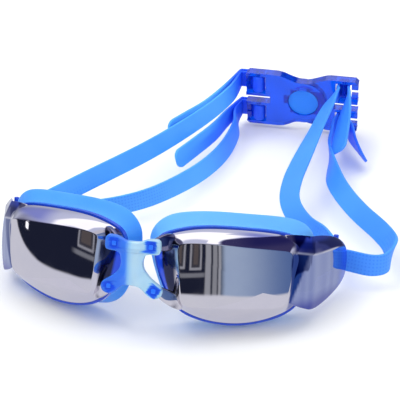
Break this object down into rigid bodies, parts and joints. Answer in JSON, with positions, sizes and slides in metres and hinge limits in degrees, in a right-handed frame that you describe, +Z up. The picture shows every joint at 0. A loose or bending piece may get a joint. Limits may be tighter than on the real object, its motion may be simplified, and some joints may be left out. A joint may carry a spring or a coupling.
{
  "type": "swim goggles",
  "caption": "Mirror-coated racing swim goggles with soft seals, flexible nose bridge, looped silicone straps and a push-button rear buckle.",
  "frame": {"origin": "centre of the bounding box at its lowest level", "axes": "+Z up, +Y from the lenses towards the rear buckle, +X to the viewer's right when facing the lenses"},
  "size_m": [0.1748, 0.2239, 0.0456],
  "materials": {
    "lens_mirror": "mirror-coated polycarbonate",
    "rim_blue": "clear blue polycarbonate",
    "seal_silicone": "translucent sky-blue silicone",
    "bridge_silicone": "clear pale-blue soft moulding",
    "strap_silicone": "matt blue silicone",
    "buckle_blue": "clear deep-blue polycarbonate",
    "button_blue": "satin light-blue plastic",
    "spring_blue": "acetal leaf"
  },
  "bodies": {
    "main": {"lens_left": "lens_mirror", "frame_left": "rim_blue", "gasket_left": "seal_silicone", "nose_bridge": "bridge_silicone", "strap_left": "strap_silicone", "strap_right": "strap_silicone", "buckle_socket": "buckle_blue", "latch_spring": "spring_blue"},
    "right_cup": {"lens_right": "lens_mirror", "frame_right": "rim_blue", "gasket_right": "seal_silicone"},
    "tongue": {"buckle_tongue": "buckle_blue"},
    "button": {"release_button": "button_blue"}
  },
  "joints": [
    {"name": "bridge_flex", "type": "hinge", "parent": "main", "child": "right_cup", "pos_m": [-0.00933, -0.10773, 0.03551], "axis": [0, 0.2183, 0.9759], "range_deg": [-12, 5], "stiffness_Nm_per_rad": 0.08, "deforming": ["nose_bridge", "strap_right"]},
    {"name": "buckle_release", "type": "slide", "parent": "main", "child": "tongue", "axis": [1, 0, 0], "range_m": [0, 0.02], "deforming": ["strap_right", "latch_spring"]},
    {"name": "button_press", "type": "slide", "parent": "main", "child": "button", "axis": [0, -0.9781, -0.2079], "range_m": [0, 0.001], "stiffness_N_per_m": 600, "deforming": ["latch_spring"]}
  ]
}
